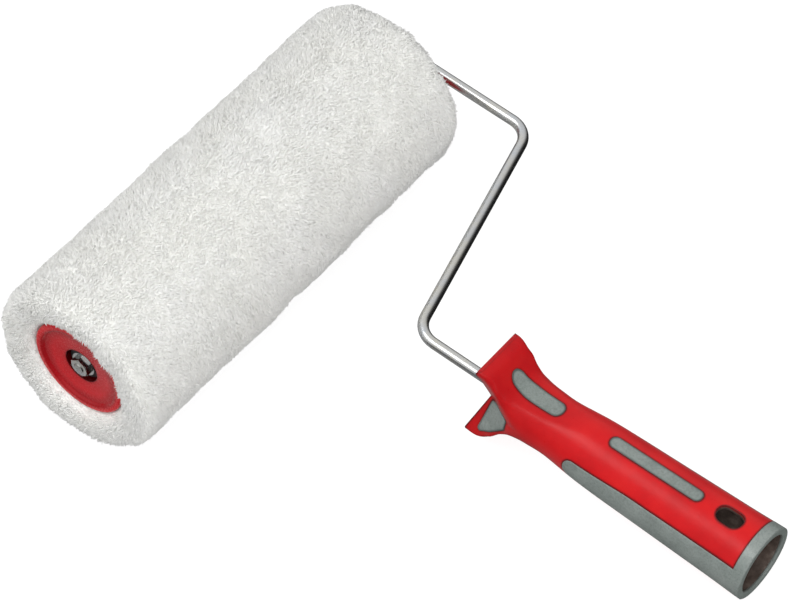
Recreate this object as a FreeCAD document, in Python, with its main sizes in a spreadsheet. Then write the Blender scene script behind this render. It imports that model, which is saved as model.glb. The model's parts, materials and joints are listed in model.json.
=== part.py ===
import FreeCAD, Part
import math
import os
import Sketcher

# Paint roller with a threaded-end wire cage frame, a two-shot handle and a 250 mm long-pile sleeve.
# Design frame: origin on the sleeve's axis at mid-length, X along the axis towards the elbow of the
# frame, the handle towards -Y, Z square to the plane of the bent wire.  Every piece is then set down
# by one placement, which tips the handle until the rear ring and the pile both touch Z = 0.

os.makedirs("parts", exist_ok=True)
doc = FreeCAD.newDocument("paint_roller")
sheet = doc.addObject("Spreadsheet::Sheet", "Sizes")

SIZES = [
    # sleeve
    ("half_len", 125.0), ("pile_half", 129.5), ("pile_crest", 39.0), ("pile_rad", 51.0), ("pile_round", 10.0), ("core_rad", 29.0), ("core_wall", 2.0),
    # end caps, depths measured inwards from the rim plane at half_len
    ("cap_rad", 28.4), ("rim_inner", 24.6), ("rim_drop", 1.6), ("flange_thick", 2.5), ("dish_edge", 23.2),
    ("dish_depth", 3.0), ("web_thick", 1.8), ("recess_rad", 10.3), ("recess_depth", 7.2), ("hub_rad", 12.4),
    ("hub_end", 21.0), ("skirt_rad", 26.95), ("skirt_wall", 1.9), ("skirt_end", 14.0), ("hub_bore", 5.2),
    ("rib_thick", 1.6), ("rib_count", 6.0), ("rim_round", 1.3),
    # bushes
    ("bush_flange_rad", 9.4), ("bush_flange", 1.5), ("bush_bore", 3.06), ("bush_len", 15.0),
    # wire
    ("wire_rad", 3.0), ("tip_depth", 0.6), ("elbow_x", 146.5), ("corner_y", 79.8), ("handle_x", 4.6),
    ("bend_y", 115.9), ("wire_end_y", 215.0), ("bend_rad", 14.0), ("tip_cham", 0.6),
    # fasteners
    ("washer_rad", 7.2), ("washer_bore", 3.12), ("washer_thick", 1.2), ("nut_flats", 10.0), ("nut_thick", 3.4),
    ("nut_cham", 0.5), ("side_play", 0.1), ("collar_rad", 5.6), ("collar_len", 5.0),
    # handle: stations along the handle (distance from the sleeve's axis) and its radii
    ("front_y", 163.6), ("under_front_y", 160.5), ("waist_y", 168.8), ("rear_y", 333.0), ("wing_half", 16.6), ("wing_top", 26.5),
    ("waist_half", 6.7), ("neck_rad", 15.9), ("rear_rad", 20.6),
    ("mouth_rad", 16.9), ("mouth_end_y", 292.0), ("pole_rad", 13.2), ("pole_end_y", 238.0),
    ("slot_y", 310.5), ("slot_len", 14.8), ("slot_wide", 10.4),
    # soft grip inlays
    ("inlay_deep", 1.4), ("inlay_proud", 0.25), ("ring_y", 326.6), ("ring_lip", 1.6), ("strip_y", 222.0),
    ("strip_half", 9.3), ("top_strip_y", 237.6), ("top_strip_end", 293.6), ("top_strip_half", 3.5),
    ("thumb_y", 176.5), ("thumb_end", 208.4), ("thumb_half", 5.0), ("tip_rad", 2.2),
]
for row, (alias, value) in enumerate(SIZES, start=1):
    sheet.set("A%d" % row, alias)
    sheet.set("B%d" % row, str(value))
    sheet.setAlias("B%d" % row, alias)
doc.recompute()
V = {alias: float(sheet.get(alias)) for alias, _ in SIZES}


def term(text):
    """A sum of sheet values such as '-half_len + rim_drop': its number and its expression."""
    total, sign, out = 0.0, 1.0, ""
    for token in text.split():
        if token in "+-":
            sign = 1.0 if token == "+" else -1.0
            out += " %s " % token
            continue
        if token.startswith("-"):
            sign, token, out = -sign, token[1:], out + "-"
        factor, name = 1.0, token
        if "*" in token:
            head, name = token.split("*")
            factor, out = float(head), out + head + " * "
        if name in V:
            total, out = total + sign * factor * V[name], out + "Sizes." + name
        else:
            total, out = total + sign * factor * float(name), out + name
        sign = 1.0
    return total, out


# The resting placement: the pile's and the rear ring's lowest points on Z = 0, the origin under the
# middle of the whole roller.
reach = math.hypot(V["rear_y"], V["rear_rad"])
tip = math.asin(V["pile_rad"] / reach) - math.atan2(V["rear_rad"], V["rear_y"])
back = V["rear_y"] * math.cos(tip) + V["rear_rad"] * math.sin(tip)
REST = FreeCAD.Placement(
    FreeCAD.Vector(-(V["elbow_x"] + V["wire_rad"] - V["pile_half"]) / 2.0, (back - V["pile_rad"]) / 2.0, V["pile_rad"]),
    FreeCAD.Rotation(FreeCAD.Vector(1, 0, 0), math.degrees(tip)),
)
pieces = []


def body(name):
    b = doc.addObject("PartDesign::Body", name)
    b.Label = name
    b.Placement = REST
    pieces.append(b)
    return b


def sketch(b, name, role):
    s = b.newObject("Sketcher::SketchObject", name)
    plane = [f for f in b.Origin.OriginFeatures if f.Role == role][0]
    s.AttachmentSupport = [(plane, "")]
    s.MapMode = "FlatFace"
    return s


def bind(s, kind, geo, pos, text):
    value, expression = term(text)
    i = s.addConstraint(Sketcher.Constraint(kind, geo, pos, value))
    s.setExpression("Constraints[%d]" % i, expression)


def outline(s, points):
    """A closed chain of straight lines through points given as pairs of sheet sums."""
    xy = [FreeCAD.Vector(term(a)[0], term(c)[0], 0) for a, c in points]
    n = len(xy)
    first = s.GeometryCount
    for i in range(n):
        s.addGeometry(Part.LineSegment(xy[i], xy[(i + 1) % n]), False)
    for i in range(n):
        s.addConstraint(Sketcher.Constraint("Coincident", first + i, 2, first + (i + 1) % n, 1))
    for i, (a, c) in enumerate(points):
        bind(s, "DistanceX", first + i, 1, a)
        bind(s, "DistanceY", first + i, 1, c)


def turned(b, points, label="profile"):
    """A solid of revolution about the sleeve's axis (X)."""
    s = sketch(b, b.Name + "_" + label, "XY_Plane")
    outline(s, points)
    rev = b.newObject("PartDesign::Revolution", b.Name + "_" + label + "_turned")
    rev.Profile = s
    rev.ReferenceAxis = (s, ["H_Axis"])
    rev.Angle = 360.0
    doc.recompute()
    return rev


def round_edges(b, base, radius, wanted, tag):
    """Fillets the circular edges whose (x, radius) is in wanted."""
    names = []
    for i, e in enumerate(base.Shape.Edges, start=1):
        if e.Curve.TypeId != "Part::GeomCircle":
            continue
        x, r = e.Curve.Center.x, e.Curve.Radius
        if any(abs(x - wx) < 1e-3 and abs(r - wr) < 1e-3 for wx, wr in wanted):
            names.append("Edge%d" % i)
    if len(names) < len(wanted):
        raise SystemExit("%s: %d of %d edges found" % (tag, len(names), len(wanted)))
    f = b.newObject("PartDesign::Fillet", b.Name + "_" + tag)
    f.Base = (base, names)
    f.setExpression("Radius", "Sizes." + radius)
    doc.recompute()
    return f


# ---------------------------------------------------------------- sleeve
b = body("core_tube")
turned(b, [
    ("-half_len + flange_thick", "core_rad - core_wall"), ("half_len - flange_thick", "core_rad - core_wall"),
    ("half_len - flange_thick", "core_rad"), ("-half_len + flange_thick", "core_rad"),
])

# the pile stands out past both caps, in a shallow funnel round each of them
b = body("pile_cover")
rev = turned(b, [
    ("-half_len", "core_rad"), ("half_len", "core_rad"), ("pile_half", "pile_crest"), ("pile_half", "pile_rad"),
    ("-pile_half", "pile_rad"), ("-pile_half", "pile_crest"),
])
round_edges(b, rev, "pile_round", [(-V["pile_half"], V["pile_rad"]), (V["pile_half"], V["pile_rad"])], "pile_ends")


def end_cap(name, side):
    """A push-in cap: rounded rim, dished web, deep hub recess, plug skirt, hub and six ribs."""
    b = body(name)

    def x(depth):
        # depth is a sheet sum measured inwards from the rim plane
        if side < 0:
            return "-half_len + " + depth
        flipped = " ".join("-" if k == "+" else "+" if k == "-" else k for k in depth.split())
        return "half_len - " + flipped

    rev = turned(b, [
        (x("0"), "rim_inner"), (x("0"), "cap_rad"), (x("flange_thick"), "cap_rad"),
        (x("flange_thick"), "skirt_rad"), (x("skirt_end"), "skirt_rad"),
        (x("skirt_end"), "skirt_rad - skirt_wall"), (x("dish_depth + web_thick"), "skirt_rad - skirt_wall"),
        (x("dish_depth + web_thick"), "hub_rad"), (x("hub_end"), "hub_rad"), (x("hub_end"), "hub_bore"),
        (x("recess_depth"), "hub_bore"), (x("recess_depth"), "recess_rad"), (x("dish_depth"), "recess_rad"),
        (x("rim_drop"), "dish_edge"),
    ])
    rim = side * V["half_len"]
    round_edges(b, rev, "rim_round", [(rim, V["cap_rad"]), (rim, V["rim_inner"])], "rim")
    # one rib between hub and skirt, then six round the axis
    s = sketch(b, name + "_rib", "XY_Plane")
    outline(s, [
        (x("dish_depth + 1"), "hub_rad - 0.5"), (x("hub_end - 2"), "hub_rad - 0.5"),
        (x("hub_end - 2"), "skirt_rad - 1"), (x("dish_depth + 1"), "skirt_rad - 1"),
    ])
    pad = b.newObject("PartDesign::Pad", name + "_rib_pad")
    pad.Profile = s
    pad.Midplane = True
    pad.setExpression("Length", "Sizes.rib_thick")
    doc.recompute()
    pat = b.newObject("PartDesign::PolarPattern", name + "_ribs")
    pat.Originals = [pad]
    pat.Axis = (s, ["H_Axis"])
    pat.Angle = 360.0
    pat.setExpression("Occurrences", "Sizes.rib_count")
    b.Tip = pat
    doc.recompute()
    return b


end_cap("outer_end_cap", -1)
end_cap("inner_end_cap", 1)


def bush(name, side):
    b = body(name)
    k = "-" if side < 0 else ""
    p, m = ("+", "-") if side < 0 else ("-", "+")
    floor = "%shalf_len %s recess_depth" % (k, p)
    turned(b, [
        (floor + " %s bush_flange" % m, "bush_bore"), (floor + " %s bush_flange" % m, "bush_flange_rad"),
        (floor, "bush_flange_rad"), (floor, "hub_bore"), (floor + " %s bush_len" % p, "hub_bore"),
        (floor + " %s bush_len" % p, "bush_bore"),
    ])


bush("outer_bush", -1)
bush("inner_bush", 1)

# ---------------------------------------------------------------- wire frame
b = body("wire_frame")
spine = sketch(b, "wire_spine", "XY_Plane")
corners = [
    ("-half_len + tip_depth", "0"), ("elbow_x", "0"), ("elbow_x", "-corner_y"),
    ("handle_x", "-bend_y"), ("handle_x", "-wire_end_y"),
]
C = [FreeCAD.Vector(term(a)[0], term(c)[0], 0) for a, c in corners]
rad = V["bend_rad"]
runs, arcs = [], []
start = C[0]
for i in (1, 2, 3):
    u = (C[i - 1] - C[i]).normalize()
    w = (C[i + 1] - C[i]).normalize()
    half = math.acos(max(-1.0, min(1.0, u.dot(w)))) / 2.0
    cut = rad / math.tan(half)
    t1, t2 = C[i] + u * cut, C[i] + w * cut
    centre = C[i] + (u + w).normalize() * (rad / math.sin(half))
    mid = centre + (C[i] - centre).normalize() * rad
    runs.append((start, t1))
    arcs.append((t1, mid, t2, centre))
    start = t2
runs.append((start, C[4]))
lines, bends = [], []
for a, c in runs:
    lines.append(spine.addGeometry(Part.LineSegment(a, c), False))
for t1, mid, t2, centre in arcs:
    # sketch arcs run anticlockwise, so the shorter way round decides which end comes first
    a1 = math.atan2(t1.y - centre.y, t1.x - centre.x)
    a2 = math.atan2(t2.y - centre.y, t2.x - centre.x)
    if (a2 - a1) % (2 * math.pi) > math.pi:
        a1, a2 = a2, a1
    circle = Part.Circle(centre, FreeCAD.Vector(0, 0, 1), rad)
    bends.append(spine.addGeometry(Part.ArcOfCircle(circle, a1, a1 + (a2 - a1) % (2 * math.pi)), False))
guides = [spine.addGeometry(Part.LineSegment(C[i], C[i + 1]), True) for i in range(4)]
for i in range(3):
    spine.addConstraint(Sketcher.Constraint("Coincident", guides[i], 2, guides[i + 1], 1))
for i, (a, c) in enumerate(corners[:4]):
    bind(spine, "DistanceX", guides[i], 1, a)
    bind(spine, "DistanceY", guides[i], 1, c)
bind(spine, "DistanceX", guides[3], 2, corners[4][0])
bind(spine, "DistanceY", guides[3], 2, corners[4][1])
spine.addConstraint(Sketcher.Constraint("Coincident", lines[0], 1, guides[0], 1))
spine.addConstraint(Sketcher.Constraint("Coincident", lines[3], 2, guides[3], 2))
for i in range(3):
    geo = spine.Geometry[bends[i]]
    t1, t2 = runs[i][1], runs[i + 1][0]
    a, c = (1, 2) if (geo.StartPoint - t1).Length < 1e-6 else (2, 1)
    spine.addConstraint(Sketcher.Constraint("Tangent", lines[i], 2, bends[i], a))
    spine.addConstraint(Sketcher.Constraint("Tangent", bends[i], c, lines[i + 1], 1))
    spine.addConstraint(Sketcher.Constraint("PointOnObject", lines[i], 2, guides[i]))
    spine.addConstraint(Sketcher.Constraint("PointOnObject", lines[i + 1], 1, guides[i + 1]))
    k = spine.addConstraint(Sketcher.Constraint("Radius", bends[i], rad))
    spine.setExpression("Constraints[%d]" % k, "Sizes.bend_rad")
doc.recompute()
ring = sketch(b, "wire_round", "YZ_Plane")
ring.AttachmentOffset = FreeCAD.Placement(FreeCAD.Vector(0, 0, C[0].x), FreeCAD.Rotation())
ring.setExpression("AttachmentOffset.Base.z", term(corners[0][0])[1])
g = ring.addGeometry(Part.Circle(FreeCAD.Vector(0, 0, 0), FreeCAD.Vector(0, 0, 1), V["wire_rad"]), False)
ring.addConstraint(Sketcher.Constraint("Coincident", g, 3, -1, 1))
k = ring.addConstraint(Sketcher.Constraint("Radius", g, V["wire_rad"]))
ring.setExpression("Constraints[%d]" % k, "Sizes.wire_rad")
doc.recompute()
pipe = b.newObject("PartDesign::AdditivePipe", "wire_bent")
pipe.Profile = ring
pipe.Spine = spine
doc.recompute()
run_length = sum((c - a).Length for a, c in runs) + sum(
    rad * (math.pi - 2 * math.asin(rad / (C[i + 1] - arcs[i][3]).Length)) for i in range(3))
drawn = math.pi * V["wire_rad"] ** 2 * run_length
print("wire length %.1f mm, volume %.1f against %.1f" % (run_length, pipe.Shape.Volume, drawn))
if abs(pipe.Shape.Volume - drawn) > 0.01 * drawn:
    raise SystemExit("the bent wire's volume is wrong")
cham = b.newObject("PartDesign::Chamfer", "wire_tip_chamfer")
names = [
    "Edge%d" % i for i, e in enumerate(pipe.Shape.Edges, start=1)
    if e.BoundBox.XMax < C[0].x + 0.01 and e.Length > 1.0
]
cham.Base = (pipe, names)
cham.setExpression("Size", "Sizes.tip_cham")
doc.recompute()

# ---------------------------------------------------------------- fasteners on the wire
b = body("outer_washer")
turned(b, [
    ("-half_len + recess_depth - bush_flange - side_play", "washer_bore"),
    ("-half_len + recess_depth - bush_flange - side_play", "washer_rad"),
    ("-half_len + recess_depth - bush_flange - side_play - washer_thick", "washer_rad"),
    ("-half_len + recess_depth - bush_flange - side_play - washer_thick", "washer_bore"),
])

b = body("lock_nut")
nut_seat = "-half_len + recess_depth - bush_flange - side_play - washer_thick"
s = sketch(b, "nut_hexagon", "YZ_Plane")
s.AttachmentOffset = FreeCAD.Placement(FreeCAD.Vector(0, 0, term(nut_seat)[0]), FreeCAD.Rotation())
s.setExpression("AttachmentOffset.Base.z", term(nut_seat)[1])
across = V["nut_flats"] / math.sqrt(3.0)
hexa = [FreeCAD.Vector(across * math.cos(math.radians(60 * i + 20)), across * math.sin(math.radians(60 * i + 20)), 0) for i in range(6)]
for i in range(6):
    s.addGeometry(Part.LineSegment(hexa[i], hexa[(i + 1) % 6]), False)
c = s.addGeometry(Part.Circle(FreeCAD.Vector(0, 0, 0), FreeCAD.Vector(0, 0, 1), across), True)
s.addConstraint(Sketcher.Constraint("Coincident", c, 3, -1, 1))
for i in range(6):
    s.addConstraint(Sketcher.Constraint("Coincident", i, 2, (i + 1) % 6, 1))
    s.addConstraint(Sketcher.Constraint("PointOnObject", i, 1, c))
for i in range(5):
    s.addConstraint(Sketcher.Constraint("Equal", i, i + 1))
k = s.addConstraint(Sketcher.Constraint("Radius", c, across))
s.setExpression("Constraints[%d]" % k, "Sizes.nut_flats / sqrt(3)")
k = s.addConstraint(Sketcher.Constraint("Angle", 0, math.atan2(hexa[1].y - hexa[0].y, hexa[1].x - hexa[0].x)))
pad = b.newObject("PartDesign::Pad", "nut_pad")
pad.Profile = s
pad.Reversed = True
pad.setExpression("Length", "Sizes.nut_thick")
doc.recompute()
s2 = sketch(b, "nut_bore_circle", "YZ_Plane")
s2.AttachmentOffset = FreeCAD.Placement(FreeCAD.Vector(0, 0, term(nut_seat)[0]), FreeCAD.Rotation())
s2.setExpression("AttachmentOffset.Base.z", term(nut_seat)[1])
g = s2.addGeometry(Part.Circle(FreeCAD.Vector(0, 0, 0), FreeCAD.Vector(0, 0, 1), V["wire_rad"]), False)
s2.addConstraint(Sketcher.Constraint("Coincident", g, 3, -1, 1))
k = s2.addConstraint(Sketcher.Constraint("Radius", g, V["wire_rad"]))
s2.setExpression("Constraints[%d]" % k, "Sizes.wire_rad")
hole = b.newObject("PartDesign::Pocket", "nut_bore")
hole.Profile = s2
hole.Type = "ThroughAll"
hole.Midplane = True
doc.recompute()
if hole.Shape.Volume > pad.Shape.Volume - 1.0:
    raise SystemExit("the nut's bore cuts nothing")
s3 = sketch(b, "nut_chamfer_profile", "XY_Plane")
outline(s3, [
    (nut_seat + " - nut_thick", "0.5*nut_flats"), (nut_seat + " - nut_thick", "0.5*nut_flats + 2"),
    (nut_seat + " - nut_thick + nut_cham + nut_cham", "0.5*nut_flats + 2"),
])
gr = b.newObject("PartDesign::Groove", "nut_chamfer")
gr.Profile = s3
gr.ReferenceAxis = (s3, ["H_Axis"])
gr.Angle = 360.0
doc.recompute()
if gr.Shape.Volume > hole.Shape.Volume - 0.5:
    raise SystemExit("the nut's chamfer cuts nothing")

b = body("thrust_washer")
turned(b, [
    ("half_len - recess_depth + bush_flange + side_play", "washer_bore"),
    ("half_len - recess_depth + bush_flange + side_play", "washer_rad"),
    ("half_len - recess_depth + bush_flange + side_play + washer_thick", "washer_rad"),
    ("half_len - recess_depth + bush_flange + side_play + washer_thick", "washer_bore"),
])

b = body("stop_collar")
rev = turned(b, [
    ("half_len - recess_depth + bush_flange + side_play + washer_thick", "wire_rad"),
    ("half_len - recess_depth + bush_flange + side_play + washer_thick", "collar_rad"),
    ("half_len - recess_depth + bush_flange + side_play + washer_thick + collar_len", "collar_rad"),
    ("half_len - recess_depth + bush_flange + side_play + washer_thick + collar_len", "wire_rad"),
])

# ---------------------------------------------------------------- handle
# The handle's outside is one smooth loft: a fish-tail front with a hourglass outline, a thumb saddle
# above and below, a round neck and a barrel that widens to the rear ring.  Each station holds the
# round radius, the height of the saddle, the half width of the wing and the half width of the waist.
FAR = 60.0
STATIONS = [
    # y,     round,  saddle, wing,              waist
    (156.5, FAR, V["wing_top"] + 0.3, V["wing_half"] + 0.2, V["waist_half"] - 2.0),
    (160.0, FAR, V["wing_top"] + 0.3, V["wing_half"] + 0.2, V["waist_half"] - 1.6),
    (164.0, FAR, V["wing_top"] + 0.3, V["wing_half"] + 0.2, V["waist_half"] - 0.9),
    (168.8, 36.0, V["wing_top"] + 0.1, V["wing_half"] + 0.4, V["waist_half"]),
    (173.0, 31.5, 24.9, V["wing_half"] + 0.6, 8.3),
    (177.0, 25.5, 21.1, V["wing_half"] + 0.8, 10.6),
    (181.0, 20.8, 17.0, 17.2, 13.0),
    (186.0, 17.9, 14.5, 18.0, 15.4),
    (192.0, 16.7, 13.5, 20.0, 17.5),
    (199.0, 16.2, 13.4, 30.0, 24.0),
    (206.0, V["neck_rad"], 13.9, FAR, FAR),
    (214.0, 16.4, 15.5, FAR, FAR),
    (224.0, 17.4, 18.6, FAR, FAR),
    (238.0, 18.2, 24.0, FAR, FAR),
    (256.0, 18.6, 40.0, FAR, FAR),
    (278.0, 19.1, FAR, FAR, FAR),
    (304.0, 19.75, FAR, FAR, FAR),
    (320.0, 20.2, FAR, FAR, FAR),
    (V["rear_y"] + 3.0, V["rear_rad"] + 0.05, FAR, FAR, FAR),
]
SHARP = 18.0


def section_radius(phi, st):
    """Radius of the section at angle phi from straight up, the smooth least of its limits."""
    _, rnd, saddle, wing, waist = st
    s, c = abs(math.sin(phi)), abs(math.cos(phi))
    limits = [rnd]
    if c > 1e-6:
        limits.append(saddle / c)
    if s > 1e-6:
        limits.append(wing / s)
    lean = (wing - waist) / saddle
    if s - lean * c > 0.05:
        limits.append(waist / (s - lean * c))
    return sum(x ** -SHARP for x in limits) ** (-1.0 / SHARP)


def skin(delta):
    """The handle's outside, moved out (or in) by delta, as a solid between y = 156.5 and rear + 3."""
    wires = []
    n = 48
    for st in STATIONS:
        pts = []
        for i in range(n):
            phi = 2 * math.pi * i / n
            r = section_radius(phi, st) + delta
            pts.append(FreeCAD.Vector(V["handle_x"] - r * math.sin(phi), -st[0], r * math.cos(phi)))
        curve = Part.BSplineCurve()
        curve.interpolate(Points=pts, PeriodicFlag=True)
        wires.append(Part.Wire([curve.toShape()]))
    solid = Part.makeLoft(wires, True, False, False)
    if solid.Volume < 0:
        solid.reverse()
    return solid


def rod(radius, y0, y1):
    """A plain cylinder along the handle's axis."""
    return Part.makeCylinder(radius, y1 - y0, FreeCAD.Vector(V["handle_x"], -y0, 0), FreeCAD.Vector(0, -1, 0))


def round_outline(points, radius):
    """A closed outline through corner points with each corner rounded."""
    n = len(points)
    edges, last, first = [], None, None
    for i in range(n):
        p, a, c = points[i], points[i - 1], points[(i + 1) % n]
        u, w = (a - p).normalize(), (c - p).normalize()
        half = math.acos(max(-1.0, min(1.0, u.dot(w)))) / 2.0
        r = radius[i] if isinstance(radius, (list, tuple)) else radius
        cut = r / math.tan(half)
        t1, t2 = p + u * cut, p + w * cut
        centre = p + (u + w).normalize() * (r / math.sin(half))
        mid = centre + (p - centre).normalize() * r
        if last is not None:
            if (t1 - last).Length > 1e-6:
                edges.append(Part.makeLine(last, t1))
        else:
            first = t1
        edges.append(Part.Arc(t1, mid, t2).toShape())
        last = t2
    if (first - last).Length > 1e-6:
        edges.append(Part.makeLine(last, first))
    return Part.Wire(Part.__sortEdges__(edges))


def top_prism(pts, radius, up):
    """A prism above (or below) the handle over an outline in (offset, y)."""
    v = [FreeCAD.Vector(V["handle_x"] + a, -y, 0) for a, y in pts]
    return Part.Face(round_outline(v, radius)).extrude(FreeCAD.Vector(0, 0, 60 * up))


def side_prism(pts, radius, side):
    """A prism beside the handle over an outline in (y, z)."""
    v = [FreeCAD.Vector(V["handle_x"], -y, z) for y, z in pts]
    return Part.Face(round_outline(v, radius)).extrude(FreeCAD.Vector(60 * side, 0, 0))


outside = skin(0.0)
under = skin(-V["inlay_deep"])
over = skin(V["inlay_proud"])

# the front face is a shallow V with rounded tips: the tips lead, the lower one a little more, and the waist is back
slope = (V["waist_y"] - V["front_y"]) / V["wing_top"]
under_slope = (V["waist_y"] - V["under_front_y"]) / V["wing_top"]
tip = V["wing_top"] - 0.7
front_pts = [
    (140.0, -45.0), (140.0, 45.0), (V["waist_y"] + 1.0, 45.0), (V["waist_y"] + 1.0, tip + 2.0), (V["waist_y"] - tip * slope, tip),
    (V["waist_y"], 0.0), (V["waist_y"] - tip * under_slope, -tip), (V["waist_y"] - 2.0, -tip - 2.0), (V["waist_y"] - 2.0, -45.0),
]
front_v = [FreeCAD.Vector(V["handle_x"] - 40, -y, z) for y, z in front_pts]
front_rounds = [1.0, 1.0, 1.0, 0.5, V["tip_rad"], 0.4, V["tip_rad"], 0.5, 1.0]
front_cut = Part.Face(round_outline(front_v, front_rounds)).extrude(FreeCAD.Vector(80, 0, 0))

thumb_zone = top_prism(
    [(-V["thumb_half"] + 0.9, V["thumb_y"]), (V["thumb_half"] - 0.9, V["thumb_y"]), (V["thumb_half"], V["thumb_y"] + 12),
     (V["thumb_half"] - 0.4, V["thumb_end"]), (-V["thumb_half"] + 0.4, V["thumb_end"]), (-V["thumb_half"], V["thumb_y"] + 12)],
    [4.3, 4.3, 10.0, 4.3, 4.3, 10.0], 1)
half, end0, end1 = V["top_strip_half"], V["top_strip_y"], V["top_strip_end"]
strip_zone = top_prism([(-half, end0), (half, end0), (half, end1), (-half, end1)], half - 0.25, 1)
finger_pts = [(167.2, -23.4), (170.8, -1.0), (184.8, 2.6), (184.4, -6.6), (176.2, -16.0)]
finger_rounds = [1.6, 2.2, 2.6, 3.4, 6.0]
finger_left = side_prism(finger_pts, finger_rounds, -1)
finger_right = side_prism(finger_pts, finger_rounds, 1)
strip_pts = [(V["strip_y"], 5.9), (V["strip_y"] + 38, V["strip_half"] - 1.0), (V["rear_y"] + 10, V["strip_half"] + 0.8),
             (V["rear_y"] + 10, -V["strip_half"] - 0.8), (V["strip_y"] + 38, -V["strip_half"] + 1.0), (V["strip_y"], -5.9)]
strip_left = side_prism(strip_pts, [5.2, 60.0, 1.0, 1.0, 60.0, 5.2], -1)
strip_right = side_prism(strip_pts, [5.2, 60.0, 1.0, 1.0, 60.0, 5.2], 1)
ring_zone = rod(40.0, V["ring_y"], V["rear_y"] + 20)

# hanging slot through both walls, from above
slot_v = [
    (V["slot_wide"] / 2, V["slot_y"] - V["slot_len"] / 2), (V["slot_wide"] / 2, V["slot_y"] + V["slot_len"] / 2),
    (-V["slot_wide"] / 2, V["slot_y"] + V["slot_len"] / 2), (-V["slot_wide"] / 2, V["slot_y"] - V["slot_len"] / 2),
]
slot = Part.Face(round_outline([FreeCAD.Vector(V["handle_x"] + a, -y, -40) for a, y in slot_v], V["slot_wide"] / 2 - 0.3)).extrude(FreeCAD.Vector(0, 0, 80))

mouth = rod(V["mouth_rad"], V["mouth_end_y"], V["rear_y"] + 20)
bore = rod(V["pole_rad"], V["pole_end_y"], V["rear_y"] + 20)
lead = Part.makeCone(V["pole_rad"], V["mouth_rad"], 4.0, FreeCAD.Vector(V["handle_x"], -(V["mouth_end_y"] - 4.0), 0), FreeCAD.Vector(0, -1, 0))
wire_way = rod(V["wire_rad"], 150.0, V["wire_end_y"])
tail = Part.makeBox(120, 60, 120, FreeCAD.Vector(V["handle_x"] - 60, -V["rear_y"] - 60, -60))


def feature(name, shape):
    if shape.ShapeType == "Compound" and len(shape.Solids) == 1:
        shape = shape.Solids[0]
    o = doc.addObject("Part::Feature", name)
    o.Label = name
    o.Shape = shape
    o.Placement = REST
    pieces.append(o)
    return o


def inlay(zone, extra=None):
    s = over.common(zone).cut(under)
    if extra is not None:
        s = s.cut(extra)
    return s


grip_zone = ring_zone.fuse([strip_left, strip_right])
shell = outside.cut([front_cut, tail])
ledge = rod(40.0, V["rear_y"] - V["ring_lip"], V["rear_y"] + 20)
pockets = [z.cut(under) for z in (thumb_zone, strip_zone, finger_left, finger_right, grip_zone)]
handle = shell
for cutter in pockets:
    handle = handle.cut(cutter)
handle = handle.cut(ledge).cut(mouth).cut(bore).cut(lead).cut(slot).cut(wire_way)
feature("handle_body", handle)
feature("thumb_pad", inlay(thumb_zone))
feature("top_grip_strip", inlay(strip_zone))
feature("finger_pad_left", inlay(finger_left, front_cut))
feature("finger_pad_right", inlay(finger_right, front_cut))
inner = under.cut(ledge)
grip = over.common(grip_zone).cut([inner, tail, mouth])
feature("rear_grip", grip)

# ---------------------------------------------------------------- checks and export
doc.recompute()
for o in doc.Objects:
    if "Invalid" in o.State or "Error" in o.State:
        raise SystemExit("%s is %s" % (o.Name, o.State))
bad = []
for o in pieces:
    sh = o.Shape
    if sh.isNull() or not sh.isValid() or len(sh.Solids) != 1 or sh.Volume <= 0:
        bad.append("%s: null %s valid %s solids %d" % (o.Label, sh.isNull(), sh.isValid(), len(sh.Solids)))
if bad:
    raise SystemExit("; ".join(bad))
for o in pieces:
    o.Shape.exportStep(os.path.join("parts", o.Label + ".step"))
    box = o.Shape.BoundBox
    print("%-18s %9.1f mm3  x %.1f..%.1f  y %.1f..%.1f  z %.1f..%.1f" % (
        o.Label, o.Shape.Volume, box.XMin, box.XMax, box.YMin, box.YMax, box.ZMin, box.ZMax))
print("tip %.3f deg" % math.degrees(tip))
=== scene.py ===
import json
import math

import bpy
import numpy as np
from mathutils import Matrix, Vector, kdtree


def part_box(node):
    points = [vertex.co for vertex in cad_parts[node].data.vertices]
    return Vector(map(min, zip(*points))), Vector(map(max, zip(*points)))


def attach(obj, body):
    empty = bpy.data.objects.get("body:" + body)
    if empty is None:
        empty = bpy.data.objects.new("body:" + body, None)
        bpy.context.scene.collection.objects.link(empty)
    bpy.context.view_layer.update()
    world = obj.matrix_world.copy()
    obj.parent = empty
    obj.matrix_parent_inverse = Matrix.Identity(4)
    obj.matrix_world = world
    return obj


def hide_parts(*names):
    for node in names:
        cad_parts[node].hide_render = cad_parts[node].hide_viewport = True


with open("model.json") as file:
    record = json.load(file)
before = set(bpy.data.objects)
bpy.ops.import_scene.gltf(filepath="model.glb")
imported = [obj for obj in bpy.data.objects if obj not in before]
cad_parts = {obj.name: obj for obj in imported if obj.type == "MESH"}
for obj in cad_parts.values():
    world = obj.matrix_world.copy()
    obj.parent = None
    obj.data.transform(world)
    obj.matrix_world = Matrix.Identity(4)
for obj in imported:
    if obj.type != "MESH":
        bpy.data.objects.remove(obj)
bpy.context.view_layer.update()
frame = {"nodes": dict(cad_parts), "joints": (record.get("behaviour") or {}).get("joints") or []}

MM = 0.001
scene = bpy.context.scene
nodes = frame["nodes"]


# ------------------------------------------------------------------ camera
def make_camera():
    data = bpy.data.cameras.new("camera")
    data.sensor_fit = "AUTO"
    data.sensor_width = 36.0
    data.lens = 196.45
    data.clip_start, data.clip_end = 0.05, 60.0
    cam = bpy.data.objects.new("camera", data)
    scene.collection.objects.link(cam)
    right = Vector((0.62003013, -0.78428471, -0.02145068)).normalized()
    back = Vector((-0.49020358, -0.40859641, 0.76990222)).normalized()
    up = back.cross(right).normalized()
    right = up.cross(back)
    turn = Matrix((right, up, back)).transposed()
    cam.matrix_world = Matrix.Translation((-1.076944, -0.852877, 1.738327)) @ turn.to_4x4()
    scene.camera = cam


make_camera()


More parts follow.
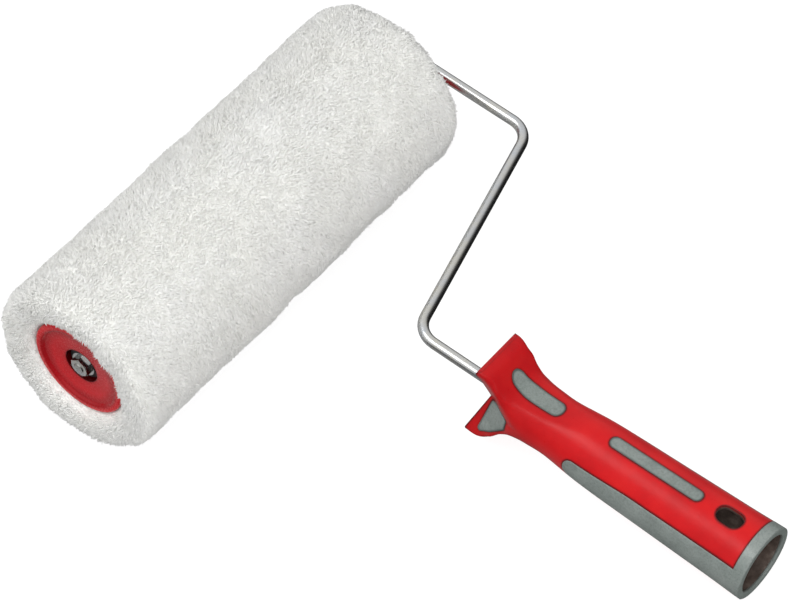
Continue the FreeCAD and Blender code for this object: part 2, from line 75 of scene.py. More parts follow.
# ------------------------------------------------------------------ noise
def _hash(ix, iy, iz, seed):
    """A number from -1 to 1 for each lattice point, the same on every run."""
    h = (ix.astype(np.int64) * 374761393 + iy.astype(np.int64) * 668265263
         + iz.astype(np.int64) * 2147483647 + seed * 1274126177) & 0xFFFFFFFF
    h = ((h ^ (h >> 13)) * 1103515245 + 12345) & 0xFFFFFFFF
    h = ((h ^ (h >> 16)) * 2246822519) & 0xFFFFFFFF
    h = h ^ (h >> 15)
    return h.astype(np.float64) / 2147483647.5 - 1.0


def lump(p, size, seed):
    """Smooth value noise over points p, in mm, with lumps of about this size."""
    q = p / size
    f = np.floor(q)
    t = q - f
    t = t * t * t * (t * (t * 6 - 15) + 10)
    i = f.astype(np.int64)
    out = 0.0
    for dx in (0, 1):
        wx = t[:, 0] if dx else 1 - t[:, 0]
        for dy in (0, 1):
            wy = t[:, 1] if dy else 1 - t[:, 1]
            for dz in (0, 1):
                wz = t[:, 2] if dz else 1 - t[:, 2]
                out = out + wx * wy * wz * _hash(i[:, 0] + dx, i[:, 1] + dy, i[:, 2] + dz, seed)
    return out


# ------------------------------------------------------------------ sleeve facts, mm
joint = frame["joints"][0]
AXIS = np.array(joint["pos_m"]) * 1000.0
pile_lo, pile_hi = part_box("pile_cover")
core_lo, core_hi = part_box("core_tube")
MID = (pile_lo.x + pile_hi.x) / 2 * 1000.0
HALF = (pile_hi.x - pile_lo.x) / 2 * 1000.0
OUTER = (pile_hi.z - pile_lo.z) / 2 * 1000.0
CORE = (core_hi.z - core_lo.z) / 2 * 1000.0
CORE_HALF = (core_hi.x - core_lo.x) / 2 * 1000.0
ROOT = OUTER - 2.7


def rounded(points, times=4):
    """A polyline with its corners cut smooth, its ends kept."""
    p = np.array(points, float)
    for _ in range(times):
        a, b = p[:-1], p[1:]
        q = np.empty((2 * len(a), 2))
        q[0::2] = a * 0.75 + b * 0.25
        q[1::2] = a * 0.25 + b * 0.75
        p = np.vstack([p[:1], q[1:-1], p[-1:]])
    return p


# The fabric's root surface: (along the sleeve, from its axis).  The end with the lock nut bulges a
# little more than the other.
near, far = -HALF, HALF
profile = rounded([
    (-CORE_HALF + 0.2, CORE + 0.2), (near + 3.6, CORE + 1.6), (near + 1.4, CORE + 5.5), (near + 0.8, CORE + 10.5),
    (near + 1.6, ROOT - 2.4), (near + 6.5, ROOT + 0.3), (near + 16.0, ROOT + 0.4), (near + 40.0, ROOT),
    (far - 42.0, ROOT), (far - 19.0, ROOT), (far - 9.5, ROOT - 0.2), (far - 4.8, ROOT - 2.6),
    (far - 3.4, CORE + 10.5), (far - 4.0, CORE + 5.5), (far - 5.0, CORE + 1.6), (CORE_HALF - 0.3, CORE + 0.2),
])
steps = np.hypot(*np.diff(profile, axis=0).T)
arc = np.concatenate([[0.0], np.cumsum(steps)])
tangent = np.gradient(profile, arc, axis=0)
tangent /= np.hypot(tangent[:, 0], tangent[:, 1])[:, None]


def on_root(s, theta):
    """Place, outward normal, direction along and direction round, for arc length s and angle theta."""
    a, r = np.interp(s, arc, profile[:, 0]), np.interp(s, arc, profile[:, 1])
    ta, tr = np.interp(s, arc, tangent[:, 0]), np.interp(s, arc, tangent[:, 1])
    length = np.hypot(ta, tr)
    ta, tr = ta / length, tr / length
    c, w = np.cos(theta), np.sin(theta)
    place = np.column_stack([MID + a, AXIS[1] + r * c, AXIS[2] + r * w])
    normal = np.column_stack([-tr, ta * c, ta * w])
    along = np.column_stack([ta, tr * c, tr * w])
    around = np.column_stack([0 * c, -w, c])
    return place, normal, along, around, r


def swell(p):
    """How far the fabric's own lumps lift its root surface, in mm."""
    return 0.8 * lump(p, 21.0, 3) + 0.95 * lump(p, 8.5, 4) + 0.35 * lump(p, 4.2, 5)


def new_object(name, verts, faces, smooth=True):
    me = bpy.data.meshes.new(name)
    me.from_pydata((np.asarray(verts) * MM).tolist(), [], faces)
    me.polygons.foreach_set("use_smooth", [smooth] * len(me.polygons))
    me.update()
    ob = bpy.data.objects.new(name, me)
    scene.collection.objects.link(ob)
    return ob


def set_map(ob, uv):
    layer = ob.data.uv_layers.new(name="OFBake")
    layer.data.foreach_set("uv", np.asarray(uv, np.float32).ravel())


def make_backing():
    """The woven fabric that holds the pile: a closed ring, lumpy outside, plain inside."""
    n_round, n_out = 216, 190
    s = np.linspace(0, arc[-1], n_out)
    theta = np.arange(n_round) * 2 * math.pi / n_round
    ss, tt = np.repeat(s, n_round), np.tile(theta, n_out)
    place, normal, _, _, r = on_root(ss, tt)
    ease = np.clip((r - CORE - 0.4) / 3.0, 0, 1)
    out = place + normal * (swell(place) * ease)[:, None]
    inner_a = np.linspace(CORE_HALF - 0.3, -CORE_HALF + 0.2, 12)[1:-1]
    ia, it = np.repeat(inner_a, n_round), np.tile(theta, len(inner_a))
    ri = CORE + 0.06
    inner = np.column_stack([MID + ia, AXIS[1] + ri * np.cos(it), AXIS[2] + ri * np.sin(it)])
    verts = np.vstack([out, inner])
    rings = n_out + len(inner_a)
    faces, uv = [], []
    for i in range(rings):
        j = (i + 1) % rings
        for k in range(n_round):
            m = (k + 1) % n_round
            faces.append((i * n_round + k, i * n_round + m, j * n_round + m, j * n_round + k))
            u0, u1, v0, v1 = k / n_round, (k + 1) / n_round, i / rings, (i + 1) / rings
            uv.extend([(u0, v0), (u1, v0), (u1, v1), (u0, v1)])
    ob = new_object("pile_backing", verts, faces)
    set_map(ob, uv)
    return ob


def frac(x):
    return x - np.floor(x)


area_at = np.concatenate([[0.0], np.cumsum(steps * 0.5 * (profile[1:, 1] + profile[:-1, 1]))])


def spread_points(count, start, rng, jitter):
    """Evenly spread places on the root surface: arc length and angle of each."""
    i = np.arange(count) + start
    u = frac(i * 0.7548776662466927 + 0.5)
    v = frac(i * 0.5698402909980532 + 0.5)
    s = np.interp(v * area_at[-1], area_at, arc)
    s = np.clip(s + rng.normal(0, jitter, count), 0.3, arc[-1] - 0.3)
    r = np.interp(s, arc, profile[:, 1])
    return s, u * 2 * math.pi + rng.normal(0, jitter, count) / r


def unit(v):
    return v / np.maximum(np.linalg.norm(v, axis=1), 1e-9)[:, None]


def lie_direction(place, along, around):
    """Which way the pile lies at each place: coherent swirls with a bias round the sleeve."""
    turn = 1.2 * lump(place, 34.0, 11) + 1.0 * lump(place, 12.0, 12) + 0.6 * lump(place, 5.0, 13)
    return around * np.cos(turn)[:, None] + along * np.sin(turn)[:, None]


# Locks: neighbouring tufts lean to the same tip, as in matted pile.
LOCKS = 5200
rng = np.random.default_rng(20402)
lock_s, lock_t = spread_points(LOCKS, 0, rng, 0.9)
lock_p, lock_n, lock_a, lock_r, lock_rad = on_root(lock_s, lock_t)
lock_d = lie_direction(lock_p, lock_a, lock_r)
lock_h = 2.3 + 0.3 * rng.normal(0, 1, LOCKS) + 0.3 * lump(lock_p, 13.0, 15)
lock_tip = lock_p + lock_n * (lock_h + swell(lock_p))[:, None] + lock_d * (4.2 + 1.1 * rng.normal(0, 1, LOCKS))[:, None]
tree = kdtree.KDTree(LOCKS)
for n, point in enumerate(lock_p):
    tree.insert(point, n)
tree.balance()


def make_tufts(name, count, start, seed, height, reach, width, gather, soft=0.32):
    """Closed, curved, tapered tufts of pile, each rooted in the backing."""
    rng = np.random.default_rng(seed)
    s, t = spread_points(count, start, rng, 0.5)
    place, normal, along, around, r = on_root(s, t)
    lie = lie_direction(place, along, around)
    lie = unit(0.45 * lie + 0.7 * (along * rng.normal(0, 1, count)[:, None] + around * rng.normal(0, 1, count)[:, None]))
    lift = swell(place) * np.clip((r - CORE - 0.4) / 3.0, 0, 1)
    root = place + normal * (lift - 0.9)[:, None]
    short = np.clip((r - CORE) / 6.0, 0.45, 1.0)
    h = np.maximum(height * (1 + 0.16 * rng.normal(0, 1, count)), 1.2) * short
    w = np.maximum(reach * (1 + 0.3 * rng.normal(0, 1, count)), 1.0) * short
    tip = place + normal * (lift + h)[:, None] + lie * w[:, None]
    found = np.array([tree.find(p)[1] for p in place])
    pull = np.clip(gather + 0.15 * rng.normal(0, 1, count), 0, 0.9)[:, None]
    tip = tip * (1 - pull) + lock_tip[found] * pull
    # no tuft stands past the sleeve's envelope
    q = tip - np.array([0, AXIS[1], AXIS[2]])
    radius = np.hypot(q[:, 1], q[:, 2])
    most = OUTER + 0.2 + 1.1 * lump(place, 12.0, 31) + 0.5 * lump(place, 5.0, 32)
    scale = np.minimum(1.0, most / radius)
    tip[:, 1] = AXIS[1] + q[:, 1] * scale
    tip[:, 2] = AXIS[2] + q[:, 2] * scale
    reach_v = tip - root
    mid = root + reach_v * 0.5 + normal * (0.13 * np.linalg.norm(reach_v, axis=1))[:, None]
    axis = unit(reach_v)
    side = unit(np.cross(axis, normal + 0.01))
    over = np.cross(axis, side)
    fat = width * (1 + 0.2 * rng.normal(0, 1, count)) * short
    fat = np.clip(fat, width * 0.35, width * 1.6)
    spin = rng.uniform(0, 2 * math.pi, count)
    verts = np.empty((count, 7, 3))
    for k in range(3):
        a = spin + k * 2 * math.pi / 3
        ring = side * (np.cos(a) * 1.15)[:, None] + over * (np.sin(a) * 0.75)[:, None]
        verts[:, k] = root + ring * (fat * 0.5)[:, None]
        verts[:, 3 + k] = mid + ring * (fat * 0.42)[:, None]
    verts[:, 6] = tip
    base = [(2, 1, 0), (0, 1, 4, 3), (1, 2, 5, 4), (2, 0, 3, 5), (3, 4, 6), (4, 5, 6), (5, 3, 6)]
    faces = [tuple(7 * i + v for v in f) for i in range(count) for f in base]
    ob = new_object(name, verts.reshape(-1, 3), faces)
    # each tuft is lit partly as the surface that it lies on, as soft fibre is
    own = np.empty((count * 7, 3))
    ob.data.vertex_normals.foreach_get("vector", own.ravel())
    lit = unit(own * (1 - soft) + np.repeat(normal, 7, axis=0) * soft)
    ob.data.normals_split_custom_set_from_vertices(lit)
    # one cell of the map for each tuft, root at its left
    side_n = int(math.ceil(math.sqrt(count)))
    m = 0.06
    x0, x1, x2 = m, 0.5, 1 - m
    y = [m + (1 - 2 * m) * k / 3 for k in range(4)]
    cell = [(x0, y[0]), (x0 + 0.08, y[1]), (x0, y[1])]
    for k in range(3):
        cell += [(x0, y[k]), (x0, y[k + 1]), (x1, y[k + 1]), (x1, y[k])]
    for k in range(3):
        cell += [(x1, y[k]), (x1, y[k + 1]), (x2, (y[k] + y[k + 1]) / 2)]
    cell = np.array(cell)
    idx = np.arange(count)
    corner = np.column_stack([idx % side_n, idx // side_n])
    set_map(ob, ((corner[:, None, :] + cell[None]) / side_n).reshape(-1, 2))
    return ob


backing = make_backing()
tufts = [
    make_tufts("pile_tufts_a", 19500, 0, 101, 2.0, 2.0, 1.7, 0.12),
    make_tufts("pile_tufts_b", 19500, 19500, 102, 2.1, 2.0, 1.4, 0.12),
    make_tufts("pile_tufts_c", 19500, 39000, 103, 2.2, 1.9, 1.2, 0.15),
    make_tufts("pile_tufts_d", 19500, 58500, 104, 2.3, 1.8, 1.0, 0.15),
    make_tufts("pile_tufts_e", 19500, 78000, 105, 2.4, 1.7, 0.85, 0.15),
    make_tufts("pile_tufts_f", 19500, 97500, 106, 2.5, 1.6, 0.75, 0.15),
]
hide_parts("pile_cover")
for ob in [backing] + tufts:
    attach(ob, "sleeve")


# ------------------------------------------------------------------ materials
class Nodes:
    """A material's node tree, built with short calls."""

    def __init__(self, name):
        self.mat = bpy.data.materials.new(name)
        self.mat.use_nodes = True
        self.tree = self.mat.node_tree
        self.tree.nodes.clear()
        self.out = self.tree.nodes.new("ShaderNodeOutputMaterial")
        self.bsdf = self.tree.nodes.new("ShaderNodeBsdfPrincipled")
        self.tree.links.new(self.bsdf.outputs[0], self.out.inputs["Surface"])
        self.place = self.tree.nodes.new("ShaderNodeTexCoord").outputs["Object"]

    def link(self, a, b):
        self.tree.links.new(a, b)

    def set(self, **values):
        for key, value in values.items():
            self.bsdf.inputs[key.replace("_", " ")].default_value = value

    def noise(self, scale, detail=3.0, rough=0.55, stretch=None, at=None):
        n = self.tree.nodes.new("ShaderNodeTexNoise")
        n.inputs["Scale"].default_value = scale
        n.inputs["Detail"].default_value = detail
        n.inputs["Roughness"].default_value = rough
        source = at or self.place
        if stretch:
            m = self.tree.nodes.new("ShaderNodeMapping")
            m.inputs["Scale"].default_value = stretch
            self.link(source, m.inputs["Vector"])
            source = m.outputs[0]
        self.link(source, n.inputs["Vector"])
        return n.outputs["Fac"]

    def voronoi(self, scale, feature="F1", out="Distance"):
        n = self.tree.nodes.new("ShaderNodeTexVoronoi")
        n.feature = feature
        n.inputs["Scale"].default_value = scale
        self.link(self.place, n.inputs["Vector"])
        return n.outputs[out]

    def ramp(self, fac, *stops):
        n = self.tree.nodes.new("ShaderNodeValToRGB")
        e = n.color_ramp.elements
        while len(e) < len(stops):
            e.new(0.5)
        for k, (pos, col) in enumerate(stops):
            e[k].position = pos
            e[k].color = (*col, 1.0) if len(col) == 3 else col
        self.link(fac, n.inputs["Fac"])
        return n.outputs["Color"]

    def span(self, value, a, b, c, d):
        n = self.tree.nodes.new("ShaderNodeMapRange")
        self.link(value, n.inputs["Value"])
        for key, x in zip(("From Min", "From Max", "To Min", "To Max"), (a, b, c, d)):
            n.inputs[key].default_value = x
        return n.outputs["Result"]

    def math(self, op, a, b):
        n = self.tree.nodes.new("ShaderNodeMath")
        n.operation = op
        for socket, x in zip(n.inputs, (a, b)):
            if isinstance(x, (int, float)):
                socket.default_value = x
            else:
                self.link(x, socket)
        return n.outputs[0]

    def mix(self, fac, a, b, mode="MIX"):
        n = self.tree.nodes.new("ShaderNodeMix")
        n.data_type = "RGBA"
        n.blend_type = mode
        if isinstance(fac, (int, float)):
            n.inputs[0].default_value = fac
        else:
            self.link(fac, n.inputs[0])
        for socket, x in ((n.inputs[6], a), (n.inputs[7], b)):
            if isinstance(x, tuple):
                socket.default_value = (*x, 1.0)
            else:
                self.link(x, socket)
        return n.outputs[2]

    def bump(self, height, strength, distance, normal=None):
        n = self.tree.nodes.new("ShaderNodeBump")
        n.inputs["Strength"].default_value = strength
        n.inputs["Distance"].default_value = distance
        self.link(height, n.inputs["Height"])
        if normal is not None:
            self.link(normal, n.inputs["Normal"])
        return n.outputs[0]

    def bevel(self, radius, samples=4):
        n = self.tree.nodes.new("ShaderNodeBevel")
        n.samples = samples
        n.inputs["Radius"].default_value = radius
        return n.outputs[0]

    def edges(self, bevelled, low=0.80, high=0.995):
        """1 on the object's own sharp edges, 0 on its plain faces."""
        geo = self.tree.nodes.new("ShaderNodeNewGeometry")
        dot = self.tree.nodes.new("ShaderNodeVectorMath")
        dot.operation = "DOT_PRODUCT"
        self.link(bevelled, dot.inputs[0])
        self.link(geo.outputs["Normal"], dot.inputs[1])
        return self.span(dot.outputs["Value"], high, low, 0.0, 1.0)

    def from_axis(self):
        """Distance of the place from the sleeve's axis, in metres."""
        sep = self.tree.nodes.new("ShaderNodeSeparateXYZ")
        self.link(self.place, sep.inputs[0])
        y = self.math("SUBTRACT", sep.outputs[1], float(AXIS[1] * MM))
        z = self.math("SUBTRACT", sep.outputs[2], float(AXIS[2] * MM))
        return self.math("SQRT", self.math("ADD", self.math("MULTIPLY", y, y), self.math("MULTIPLY", z, z)), 0.0), sep.outputs[0]

    def from_handle(self):
        """Distance along the handle's axis and from it, in metres, from the start of its rear half."""
        off = self.tree.nodes.new("ShaderNodeVectorMath")
        off.operation = "SUBTRACT"
        self.link(self.place, off.inputs[0])
        off.inputs[1].default_value = GRIP_AT
        dot = self.tree.nodes.new("ShaderNodeVectorMath")
        dot.operation = "DOT_PRODUCT"
        self.link(off.outputs[0], dot.inputs[0])
        dot.inputs[1].default_value = GRIP_WAY
        square = self.tree.nodes.new("ShaderNodeVectorMath")
        square.operation = "DOT_PRODUCT"
        self.link(off.outputs[0], square.inputs[0])
        self.link(off.outputs[0], square.inputs[1])
        t = dot.outputs["Value"]
        flat = self.math("SUBTRACT", square.outputs["Value"], self.math("MULTIPLY", t, t))
        return t, self.math("SQRT", self.math("MAXIMUM", flat, 0.0), 0.0)


GRIP_AT, GRIP_WAY = (-0.0054, -0.122643, 0.026739), (0.0, -0.9958, -0.09155)


def plastic(name, dark, base, light, rough, grain, worn=0.25, level=0.5, bevel=0.0007, bump=0.16, paint_handle_shade=False, rings=(), gap_shade=None):
    m = Nodes(name)
    cloud = m.noise(38.0, 4.0, 0.6)
    colour = m.ramp(cloud, (0.28, dark), (0.52, base), (0.78, light))
    round_n = m.bevel(bevel)
    edge = m.edges(round_n)
    scuff = m.noise(260.0, 5.0, 0.7)
    wear = m.math("MULTIPLY", edge, m.span(scuff, 0.42, 0.62, 0.0, worn))
    pale = tuple(min(1.0, c * 1.25 + 0.04) for c in light)
    colour = m.mix(wear, colour, pale)
    if gap_shade:
        # painted shade in the joint lines and along the sharp edges
        line = m.edges(m.bevel(0.0024, 8), 0.93, 0.9995)
        colour = m.mix(m.math("MULTIPLY", line, 0.9), colour, gap_shade)
    if rings:
        # painted shade and painted highlight by distance from the sleeve's axis: the hub inside about 10 mm is painted
        # nearly black and the groove darker, in place of the shade in these recesses, and the rim is painted lighter in
        # place of its highlight
        r, _ = m.from_axis()
        span = m.span(r, 0.0, 0.04, 0.0, 1.0)
        colour = m.mix(1.0, colour, m.ramp(span, *((at / 40.0, (v, v, v)) for at, v in rings)), "MULTIPLY")
    if paint_handle_shade:
        # painted shade: the pole socket's mouth, its deeper bore and the slot are painted dark brown-grey, in place of
        # the shade inside the hollow
        t, r = m.from_handle()
        wide = m.math("MULTIPLY", m.span(t, 0.0205, 0.0215, 0.0, 1.0), m.span(r, 0.0172, 0.0175, 1.0, 0.0))
        deep = m.math("MULTIPLY", m.span(t, -0.0355, -0.0345, 0.0, 1.0), m.span(r, 0.0136, 0.0139, 1.0, 0.0))
        slot = m.math("MULTIPLY", m.math("MULTIPLY", m.span(t, 0.036, 0.037, 0.0, 1.0), m.span(t, 0.054, 0.055, 1.0, 0.0)),
                      m.span(r, 0.0184, 0.0193, 1.0, 0.0))
        inside = m.math("MAXIMUM", m.math("MAXIMUM", wide, deep), slot)
        # painted shade: the front end, toward the wire, is painted about a fifth darker than the barrel, in place of
        # the shade on the side that faces away from the light
        colour = m.mix(1.0, colour, m.ramp(m.span(t, -0.11, 0.0, 0.0, 1.0), (0.0, (0.78, 0.78, 0.78)), (0.3, (0.80, 0.80, 0.80)), (0.62, (1.0, 1.0, 1.0))), "MULTIPLY")
        socket_shade_colour = m.ramp(m.noise(160.0, 4.0, 0.6), (0.35, (0.066, 0.048, 0.040)), (0.55, (0.126, 0.095, 0.080)), (0.8, (0.250, 0.212, 0.188)))
        colour = m.mix(inside, colour, socket_shade_colour)
    m.link(colour, m.bsdf.inputs["Base Color"])
    fine = m.noise(950.0, 3.0, 0.6)
    r = m.math("ADD", m.span(fine, 0.3, 0.7, rough - 0.04, rough + 0.05), m.span(scuff, 0.5, 0.75, 0.0, 0.09))
    m.link(r, m.bsdf.inputs["Roughness"])
    height = m.math("ADD", m.math("MULTIPLY", m.noise(grain, 2.0, 0.5), 0.7), m.math("MULTIPLY", m.noise(grain * 0.12, 3.0, 0.5), 1.2))
    m.link(m.bump(height, bump, 0.00012, round_n), m.bsdf.inputs["Normal"])
    m.set(IOR=1.5)
    m.bsdf.inputs["Specular IOR Level"].default_value = level
    return m.mat


def rubber(name, dark, base, light, rim, bevel):
    m = Nodes(name)
    cloud = m.noise(70.0, 5.0, 0.65)
    speck = m.noise(900.0, 3.0, 0.75)
    colour = m.ramp(cloud, (0.25, dark), (0.5, base), (0.8, light))
    flecks = m.ramp(speck, (0.36, (0.62, 0.62, 0.62)), (0.5, (1.0, 1.0, 1.0)), (0.72, (1.25, 1.25, 1.25)))
    colour = m.mix(0.55, colour, flecks, "MULTIPLY")
    round_n = m.bevel(bevel, 8)
    # a rim factor below 1, as on the inlays, paints a dark band along the edges: painted shade in the grooves round the
    # inlays; above 1, as on the rear grip, the edges are paler, as rubbed wear
    edge = m.edges(m.bevel(0.0020, 8), 0.93, 0.9995) if rim < 1 else m.edges(round_n, 0.72, 0.999)
    colour = m.mix(m.math("MULTIPLY", edge, 0.85 if rim < 1 else 0.3), colour, tuple(c * rim for c in base))
    m.link(colour, m.bsdf.inputs["Base Color"])
    rough, grain = m.span(speck, 0.3, 0.7, 0.5, 0.68), 1.0
    if rim > 1:
        # the end ring is rubbed smoother than the strips
        t, _ = m.from_handle()
        ring = m.span(t, 0.0600, 0.0616, 0.0, 1.0)
        rough = m.math("ADD", m.math("MULTIPLY", rough, m.span(ring, 0.0, 1.0, 1.0, 0.25)), m.math("MULTIPLY", ring, 0.16))
        grain = m.span(ring, 0.0, 1.0, 1.0, 0.06)
        m.bsdf.inputs["Specular IOR Level"].default_value = 0.9
    m.link(rough, m.bsdf.inputs["Roughness"])
    pebble = m.math("ADD", m.math("MULTIPLY", m.voronoi(1150.0), 0.9), m.math("MULTIPLY", m.noise(2600.0, 2.0, 0.5), 0.5))
    m.link(m.bump(m.math("MULTIPLY", pebble, grain), 0.35, 0.00016, round_n), m.bsdf.inputs["Normal"])
    m.set(IOR=1.48)
    return m.mat


def zinc(name, base, rough, bevel=0.0003):
    m = Nodes(name)
    cloud = m.noise(120.0, 5.0, 0.6)
    cool, warm = tuple(c * k for c, k in zip(base, (0.93, 0.97, 1.04))), tuple(c * k for c, k in zip(base, (1.05, 1.02, 0.93)))
    colour = m.ramp(cloud, (0.3, cool), (0.5, base), (0.72, warm))
    spots = m.noise(700.0, 4.0, 0.75)
    dull = m.span(spots, 0.56, 0.74, 0.0, 0.5)
    colour = m.mix(dull, colour, tuple(c * 0.62 for c in base))
    m.link(colour, m.bsdf.inputs["Base Color"])
    m.set(Metallic=1.0)
    r = m.math("ADD", m.span(m.noise(1900.0, 3.0, 0.7), 0.3, 0.7, rough - 0.05, rough + 0.07), m.math("MULTIPLY", dull, 0.2))
    m.link(r, m.bsdf.inputs["Roughness"])
    height = m.math("ADD", m.noise(2400.0, 2.0, 0.6), m.math("MULTIPLY", m.noise(420.0, 3.0, 0.6), 0.8))
    m.link(m.bump(height, 0.12, 0.00007, m.bevel(bevel)), m.bsdf.inputs["Normal"])
    return m.mat


def pile_material(name, deep, strands):
    m = Nodes(name)
    r, x = m.from_axis()
    cloud = m.noise(34.0, 5.0, 0.6)
    colour = m.ramp(cloud, (0.26, (0.945, 0.942, 0.910)), (0.48, (0.960, 0.960, 0.930)), (0.74, (0.965, 0.966, 0.950)))
    tufty = m.noise(240.0, 4.0, 0.65)
    shade = m.ramp(tufty, (0.3, (0.96, 0.96, 0.96)), (0.55, (1.0, 1.0, 1.0)), (0.8, (1.02, 1.02, 1.02)))
    colour = m.mix(0.8, colour, shade, "MULTIPLY")
    # painted shade: deeper in the pile, towards the roots, the colour is painted a little greyer in place of the shade
    # between the tufts
    depth_shade = m.span(r, float((OUTER - 5.0) * MM), float((OUTER - 0.5) * MM), 1.0, 0.0)
    colour = m.mix(m.math("MULTIPLY", depth_shade, deep), colour, (0.88, 0.875, 0.86))
    if strands:
        info = m.tree.nodes.new("ShaderNodeNewGeometry")
        each = m.ramp(info.outputs["Random Per Island"], (0.0, (0.975, 0.975, 0.97)), (0.5, (1.0, 1.0, 1.0)), (1.0, (1.01, 1.01, 1.015)))
        colour = m.mix(1.0, colour, each, "MULTIPLY")
    m.link(colour, m.bsdf.inputs["Base Color"])
    m.link(m.span(tufty, 0.3, 0.7, 0.72, 0.9), m.bsdf.inputs["Roughness"])
    height = m.math("ADD", m.noise(1500.0, 3.0, 0.7), m.math("MULTIPLY", m.noise(420.0, 3.0, 0.6), 1.5))
    m.link(m.bump(height, 0.15, 0.0001), m.bsdf.inputs["Normal"])
    m.bsdf.inputs["Specular IOR Level"].default_value = 0.2
    m.bsdf.inputs["Sheen Weight"].default_value = 0.6
    m.bsdf.inputs["Sheen Roughness"].default_value = 0.5
    return m.mat


red_handle = plastic("red_handle_moulded", (0.49, 0.004, 0.007), (0.59, 0.006, 0.009), (0.67, 0.013, 0.012), 0.31, 2100.0, 0.1, level=0.22, paint_handle_shade=True, gap_shade=(0.085, 0.006, 0.007))
red_cap = plastic("red_cap_moulded", (0.440, 0.003, 0.008), (0.528, 0.004, 0.010), (0.598, 0.008, 0.014), 0.25, 900.0, 0.2, 0.4, 0.0006, 0.03,
                  rings=((0, 0.06), (10.25, 0.08), (10.7, 0.72), (12.0, 0.95), (18.0, 1.05), (21.5, 0.80), (24.5, 0.68), (26.2, 1.15), (40, 1.2)))
grey_grip = rubber("grey_grip_rubber", (0.165, 0.192, 0.178), (0.208, 0.240, 0.224), (0.262, 0.292, 0.276), 1.35, 0.0012)
grey_inlay = rubber("grey_inlay_rubber", (0.165, 0.192, 0.178), (0.208, 0.240, 0.224), (0.262, 0.292, 0.276), 0.30, 0.0008)
zinc_wire = zinc("zinc_wire_drawn", (0.65, 0.65, 0.64), 0.25)
zinc_hardware = zinc("zinc_hardware_bright", (0.78, 0.78, 0.77), 0.20)
black_bush = plastic("black_bush_moulded", (0.012, 0.012, 0.013), (0.020, 0.020, 0.022), (0.034, 0.034, 0.036), 0.4, 1800.0, 0.15, bevel=0.0003)
core_plastic = plastic("core_tube_plastic", (0.38, 0.38, 0.36), (0.45, 0.45, 0.43), (0.52, 0.52, 0.50), 0.48, 1200.0, 0.2, bevel=0.0003)
pile_root = pile_material("pile_backing_fibre", 0.11, False)
pile_fibre = pile_material("pile_tuft_fibre", 0.11, True)

wears = {
    "wire_frame": zinc_wire,
    "lock_nut": zinc_hardware,
    "outer_washer": zinc_hardware,
    "thrust_washer": zinc_hardware,
    "stop_collar": zinc_hardware,
    "handle_body": red_handle,
    "thumb_pad": grey_inlay,
    "top_grip_strip": grey_inlay,
    "finger_pad_left": grey_inlay,
    "finger_pad_right": grey_inlay,
    "rear_grip": grey_grip,
    "core_tube": core_plastic,
    "outer_end_cap": red_cap,
    "inner_end_cap": red_cap,
    "outer_bush": black_bush,
    "inner_bush": black_bush,
}
for name, mat in wears.items():
    for k in range(len(nodes[name].material_slots)):
        nodes[name].material_slots[k].material = mat
backing.data.materials.append(pile_root)
for ob in tufts:
    ob.data.materials.append(pile_fibre)


# ------------------------------------------------------------------ floor and light
def make_floor():
    size, n = 4.0, 8
    verts, faces = [], []
    for i in range(n + 1):
        for j in range(n + 1):
            verts.append((1000 * size * (2 * i / n - 1), 1000 * size * (2 * j / n - 1), -1.2))
    for i in range(n):
        for j in range(n):
            a = i * (n + 1) + j
            faces.append((a, a + n + 1, a + n + 2, a + 1))
    floor = new_object("floor", verts, faces, False)
    m = Nodes("floor_paper")
    m.link(m.ramp(m.noise(3.0, 3.0, 0.5), (0.3, (0.24, 0.24, 0.24)), (0.7, (0.26, 0.26, 0.26))), m.bsdf.inputs["Base Color"])
    m.set(Roughness=0.9)
    m.bsdf.inputs["Specular IOR Level"].default_value = 0.0
    m.bsdf.inputs["Emission Color"].default_value = (1.0, 1.0, 1.0, 1.0)
    m.bsdf.inputs["Emission Strength"].default_value = 0.86
    floor.data.materials.append(m.mat)
    return floor


def area(name, place, aim, size, power, colour=(1.0, 1.0, 1.0)):
    data = bpy.data.lights.new(name, "AREA")
    data.shape = "RECTANGLE"
    data.size, data.size_y = size
    data.energy = power
    data.color = colour
    lamp = bpy.data.objects.new(name, data)
    lamp.location = place
    lamp.rotation_mode = "QUATERNION"
    lamp.rotation_quaternion = (Vector(aim) - Vector(place)).to_track_quat("-Z", "Y")
    scene.collection.objects.link(lamp)
    return lamp


floor = make_floor()
floor.visible_glossy = False
floor.visible_diffuse = False
area("key_softbox", (-0.75, 0.75, 1.9), (0.0, 0.0, 0.04), (1.3, 0.9), 13.0)
area("front_softbox", (-1.05, -0.55, 1.6), (0.0, 0.05, 0.04), (1.0, 0.8), 9.5).visible_glossy = False
area("low_softbox", (-0.35, -1.6, 0.45), (0.0, 0.1, 0.05), (1.0, 0.6), 6.5).visible_glossy = False


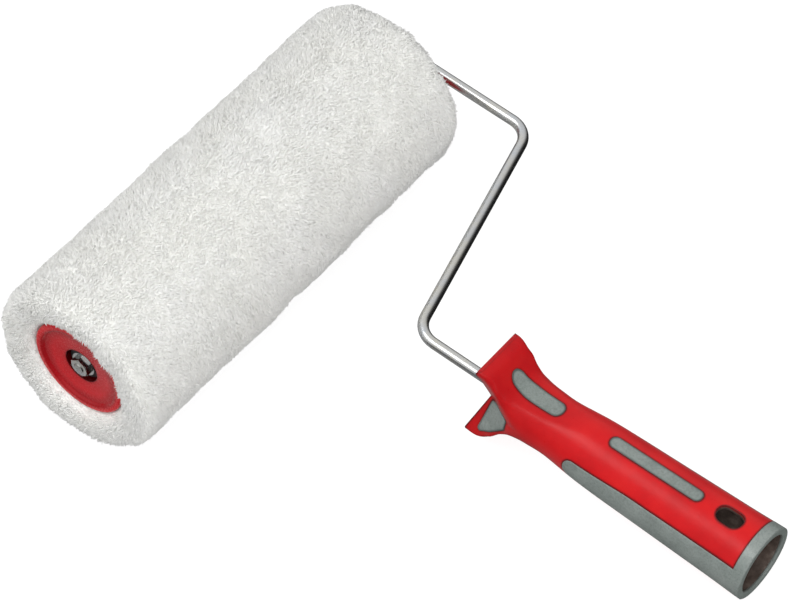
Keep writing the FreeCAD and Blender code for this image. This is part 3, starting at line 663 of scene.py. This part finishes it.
def make_world():
    """Soft white surroundings, dimmer below.  What shines in gloss is a studio: bright above and to the
    sleeve's side, dark to the handle's side and below."""
    world = bpy.data.worlds.new("studio")
    scene.world = world
    world.use_nodes = True
    t = world.node_tree
    t.nodes.clear()
    out = t.nodes.new("ShaderNodeOutputWorld")
    coord = t.nodes.new("ShaderNodeTexCoord")

    def along(way, *stops):
        dot = t.nodes.new("ShaderNodeVectorMath")
        dot.operation = "DOT_PRODUCT"
        t.links.new(coord.outputs["Generated"], dot.inputs[0])
        dot.inputs[1].default_value = way
        rise = t.nodes.new("ShaderNodeMapRange")
        rise.inputs["From Min"].default_value = -1.0
        rise.inputs["From Max"].default_value = 1.0
        t.links.new(dot.outputs["Value"], rise.inputs["Value"])
        ramp = t.nodes.new("ShaderNodeValToRGB")
        e = ramp.color_ramp.elements
        while len(e) < len(stops):
            e.new(0.5)
        for k, (at, v) in enumerate(stops):
            e[k].position = (at + 1) / 2
            e[k].color = (v, v, v, 1.0)
        t.links.new(rise.outputs["Result"], ramp.inputs["Fac"])
        return ramp.outputs["Color"]

    def background(colour, strength):
        b = t.nodes.new("ShaderNodeBackground")
        if colour is None:
            b.inputs["Color"].default_value = (1.0, 1.0, 1.0, 1.0)
        else:
            t.links.new(colour, b.inputs["Color"])
        b.inputs["Strength"].default_value = strength
        return b.outputs[0]

    def choose(fac, a, b):
        m = t.nodes.new("ShaderNodeMixShader")
        t.links.new(fac, m.inputs[0])
        t.links.new(a, m.inputs[1])
        t.links.new(b, m.inputs[2])
        return m.outputs[0]

    soft = along((0.0, 0.0, 1.0), (-1.0, 0.92), (-0.2, 0.92), (0.15, 0.94), (1.0, 1.0))
    side = along((-0.005, 0.884, 0.467), (-1.0, 0.03), (-0.40, 0.04), (-0.15, 0.22), (0.05, 0.62), (0.4, 0.85), (1.0, 0.95))
    high = along((0.0, 0.0, 1.0), (-1.0, 0.75), (-0.6, 0.55), (-0.25, 0.16), (-0.05, 0.14), (0.14, 0.55), (0.35, 1.0), (1.0, 1.0))
    both = t.nodes.new("ShaderNodeMix")
    both.data_type = "RGBA"
    both.blend_type = "MULTIPLY"
    both.inputs[0].default_value = 1.0
    t.links.new(side, both.inputs[6])
    t.links.new(high, both.inputs[7])
    path = t.nodes.new("ShaderNodeLightPath")
    lit = choose(path.outputs["Is Glossy Ray"], background(soft, 0.66), background(both.outputs[2], 0.9))
    t.links.new(choose(path.outputs["Is Camera Ray"], lit, background(None, 1.0)), out.inputs["Surface"])


make_world()
# white pile passes light on many times before it dies away
scene.cycles.max_bounces = 16
scene.cycles.diffuse_bounces = 12
scene.view_settings.view_transform = "Standard"
scene.view_settings.look = "None"
scene.view_settings.exposure = 0.0
scene.view_settings.gamma = 1.0
